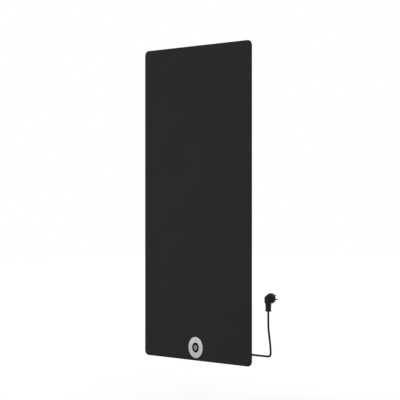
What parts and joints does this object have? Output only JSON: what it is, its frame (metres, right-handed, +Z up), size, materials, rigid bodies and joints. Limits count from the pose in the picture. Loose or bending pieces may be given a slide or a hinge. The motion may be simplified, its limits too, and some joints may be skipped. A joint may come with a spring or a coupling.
{
  "type": "electric panel radiator",
  "caption": "Flat upright wall-hung electric panel radiator, matt black, with a silver ring dial around a push button at the bottom, and a mains cord with an angled plug.",
  "frame": {"origin": "wall plane, at the middle of the four wall fixings", "axes": "+X to the right as seen from the room, +Y into the wall, +Z up"},
  "size_m": [0.6879, 0.0675, 1.2],
  "materials": {
    "panel_black": "fine matt powder coat",
    "cover_black": "matt powder coat on pressed sheet",
    "zinc_steel": "bright zinc plate",
    "mica": "pressed mica sheet",
    "track_metal": "resistance foil",
    "mineral_wool": "mineral wool board",
    "cutout_body": "moulded phenolic",
    "silver_ring": "turned and anodised",
    "index_black": "ink filled mark",
    "moulded_black": "moulded, fine texture",
    "bezel_black": "polished moulding",
    "felt": "felt",
    "board_green": "solder mask on laminate",
    "button_grey": "satin moulding",
    "silicone": "silicone",
    "plunger_white": "natural polyamide",
    "fuse_glass": "ceramic tube, plated caps",
    "lead_brown": "wire insulation",
    "lead_blue": "wire insulation",
    "lead_green": "wire insulation",
    "ribbon_grey": "cable insulation",
    "sensor_epoxy": "epoxy bead",
    "cord_black": "flexible cord sheath",
    "plug_black": "moulded plug body",
    "pin_metal": "darkened nickel plate",
    "nickel_brass": "nickel plated"
  },
  "bodies": {
    "heater": {"front_panel": "panel_black", "rear_cover": "cover_black", "cover_screws": "zinc_steel", "wall_rail_upper": "zinc_steel", "wall_rail_lower": "zinc_steel", "hanger_upper": "zinc_steel", "hanger_lower": "zinc_steel", "hanger_rivets": "zinc_steel", "panel_studs": "zinc_steel", "housing_nuts": "zinc_steel", "spindle_screws": "zinc_steel", "board_screws": "zinc_steel", "earth_stud": "zinc_steel", "terminal_screws": "zinc_steel", "front_mica": "mica", "rear_mica": "mica", "heating_track": "track_metal", "insulation_board": "mineral_wool", "thermal_cutout": "cutout_body", "relay": "cutout_body", "push_switch": "cutout_body", "slot_sensor": "cutout_body", "control_housing": "moulded_black", "cord_clamp": "moulded_black", "dial_spindle": "bezel_black", "friction_washer": "felt", "control_board": "board_green", "power_board": "board_green", "return_dome": "silicone", "terminal_block": "plunger_white", "fuse": "fuse_glass", "live_lead": "lead_brown", "switched_lead": "lead_brown", "cord_cores": "lead_brown", "supply_leads": "lead_brown", "neutral_lead": "lead_blue", "earth_lead": "lead_green", "ribbon": "ribbon_grey", "sensor_lead": "ribbon_grey", "room_sensor": "sensor_epoxy", "cord_gland": "cord_black", "cord_tail": "cord_black", "power_cord": "cord_black", "plug_body": "plug_black", "plug_pins": "pin_metal", "plug_earth_clips": "nickel_brass"},
    "dial": {"dial_ring": "silver_ring", "dial_index": "index_black", "dial_hub": "moulded_black", "code_wheel": "moulded_black"},
    "button": {"push_button": "button_grey", "switch_plunger": "plunger_white"}
  },
  "joints": [
    {"name": "dial_turn", "type": "hinge", "parent": "heater", "child": "dial", "pos_m": [0, -0.0453, -0.55], "axis": [0, 1, 0], "range_deg": [-150, 150]},
    {"name": "button_press", "type": "slide", "parent": "heater", "child": "button", "axis": [0, 1, 0], "range_m": [0, 0.0012], "stiffness_N_per_m": 1500, "deforming": ["return_dome"]}
  ]
}
